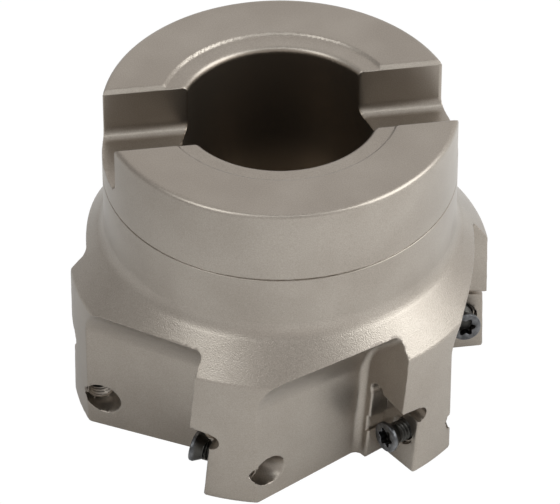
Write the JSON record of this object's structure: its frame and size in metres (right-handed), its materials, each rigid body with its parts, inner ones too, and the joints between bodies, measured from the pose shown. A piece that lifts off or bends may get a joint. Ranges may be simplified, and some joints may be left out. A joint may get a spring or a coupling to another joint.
{
  "type": "face mill",
  "caption": "Shell-type face mill: a steel body with an arbor bore, drive-key slots, chip gullets and insert pockets, each with its clamping screw.",
  "frame": {"origin": "centre of the front (cutting) face, on the cutter's axis", "axes": "+Z along the cutter's axis towards the arbor; +X along the drive-key slots and through the first tooth"},
  "size_m": [0.048, 0.047, 0.0384],
  "materials": {
    "plated_steel": "satin warm-grey nickel plate over fine blasted steel",
    "screw_steel": "dark oiled steel, worn bright on the head's edge"
  },
  "bodies": {
    "cutter": {"cutter_body": "plated_steel"},
    "screw_1": {"insert_screw_1": "screw_steel"},
    "screw_2": {"insert_screw_2": "screw_steel"},
    "screw_3": {"insert_screw_3": "screw_steel"},
    "screw_4": {"insert_screw_4": "screw_steel"},
    "screw_5": {"insert_screw_5": "screw_steel"},
    "screw_6": {"insert_screw_6": "screw_steel"}
  },
  "joints": [
    {"name": "screw_1_travel", "type": "slide", "parent": "cutter", "child": "screw_1", "axis": [0, -0.9953, 0.0965], "range_m": [-0.001, 0.0055]},
    {"name": "screw_2_travel", "type": "slide", "parent": "cutter", "child": "screw_2", "axis": [0.862, -0.4977, 0.0965], "range_m": [-0.001, 0.0055]},
    {"name": "screw_3_travel", "type": "slide", "parent": "cutter", "child": "screw_3", "axis": [0.862, 0.4977, 0.0965], "range_m": [-0.001, 0.0055]},
    {"name": "screw_4_travel", "type": "slide", "parent": "cutter", "child": "screw_4", "axis": [0, 0.9953, 0.0965], "range_m": [-0.001, 0.0055]},
    {"name": "screw_5_travel", "type": "slide", "parent": "cutter", "child": "screw_5", "axis": [-0.862, 0.4977, 0.0965], "range_m": [-0.001, 0.0055]},
    {"name": "screw_6_travel", "type": "slide", "parent": "cutter", "child": "screw_6", "axis": [-0.862, -0.4977, 0.0965], "range_m": [-0.001, 0.0055]}
  ]
}
